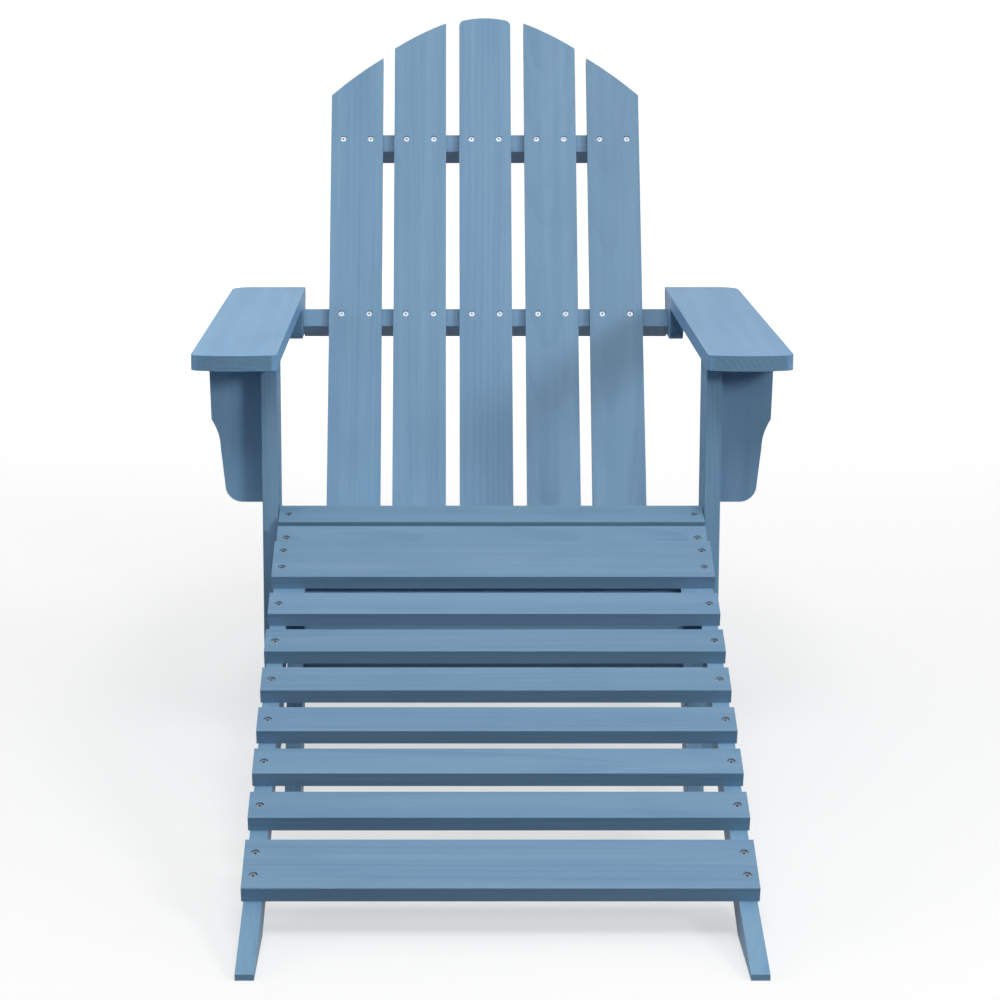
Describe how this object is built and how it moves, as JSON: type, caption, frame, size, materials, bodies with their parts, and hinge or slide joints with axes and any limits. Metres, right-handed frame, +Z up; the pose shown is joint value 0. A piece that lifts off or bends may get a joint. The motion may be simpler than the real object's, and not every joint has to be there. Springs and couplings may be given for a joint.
{
  "type": "adirondack chair with ottoman",
  "caption": "Slatted wooden adirondack chair with wide flat arms, a reclined arched back and a separate sloped ottoman set in front of the seat.",
  "frame": {"origin": "middle of the set's footprint on the floor, half way across the arms and half way from the ottoman tip to the rearmost point of the back", "axes": "+X to the right seen from the front, +Y towards the back, +Z up"},
  "size_m": [0.7, 1.5919, 0.8502],
  "materials": {
    "slat_wood": "blue translucent stain over fine straight fir grain, satin",
    "arm_wood": "blue translucent stain over fine straight fir grain, satin",
    "frame_wood": "blue translucent stain over fine straight fir grain, satin",
    "zinc_screw": "bright zinc plate"
  },
  "bodies": {
    "chair": {"arm_left": "arm_wood", "arm_right": "arm_wood", "front_post_left": "frame_wood", "front_post_right": "frame_wood", "arm_bracket_left": "frame_wood", "arm_bracket_right": "frame_wood", "side_rail_left": "frame_wood", "side_rail_right": "frame_wood", "arm_cleat_left": "frame_wood", "arm_cleat_right": "frame_wood", "upper_back_rail": "frame_wood", "arm_back_rail": "frame_wood", "back_base_rail": "frame_wood", "back_slat_outer_left": "slat_wood", "back_slat_inner_left": "slat_wood", "back_slat_middle": "slat_wood", "back_slat_inner_right": "slat_wood", "back_slat_outer_right": "slat_wood", "seat_nose_slat": "slat_wood", "seat_crest_slat": "slat_wood", "seat_slat_1": "slat_wood", "seat_slat_2": "slat_wood", "seat_slat_3": "slat_wood", "seat_slat_4": "slat_wood", "seat_slat_5": "slat_wood", "seat_slat_6": "slat_wood", "seat_slat_7": "slat_wood", "back_screws": "zinc_screw", "seat_screws": "zinc_screw", "post_screws": "zinc_screw", "bracket_screws": "zinc_screw", "cleat_screws": "zinc_screw"},
    "ottoman": {"ottoman_rail_left": "frame_wood", "ottoman_rail_right": "frame_wood", "ottoman_leg_left": "frame_wood", "ottoman_leg_right": "frame_wood", "ottoman_apron": "frame_wood", "ottoman_rear_slat": "slat_wood", "ottoman_slat_1": "slat_wood", "ottoman_slat_2": "slat_wood", "ottoman_slat_3": "slat_wood", "ottoman_slat_4": "slat_wood", "ottoman_slat_5": "slat_wood", "ottoman_slat_6": "slat_wood", "ottoman_front_slat": "slat_wood", "ottoman_slat_screws": "zinc_screw", "ottoman_leg_screws": "zinc_screw"}
  },
  "joints": [
    {"name": "ottoman_slide", "type": "slide", "parent": "chair", "child": "ottoman", "axis": [0, -1, 0], "range_m": [0, 0.3]}
  ]
}
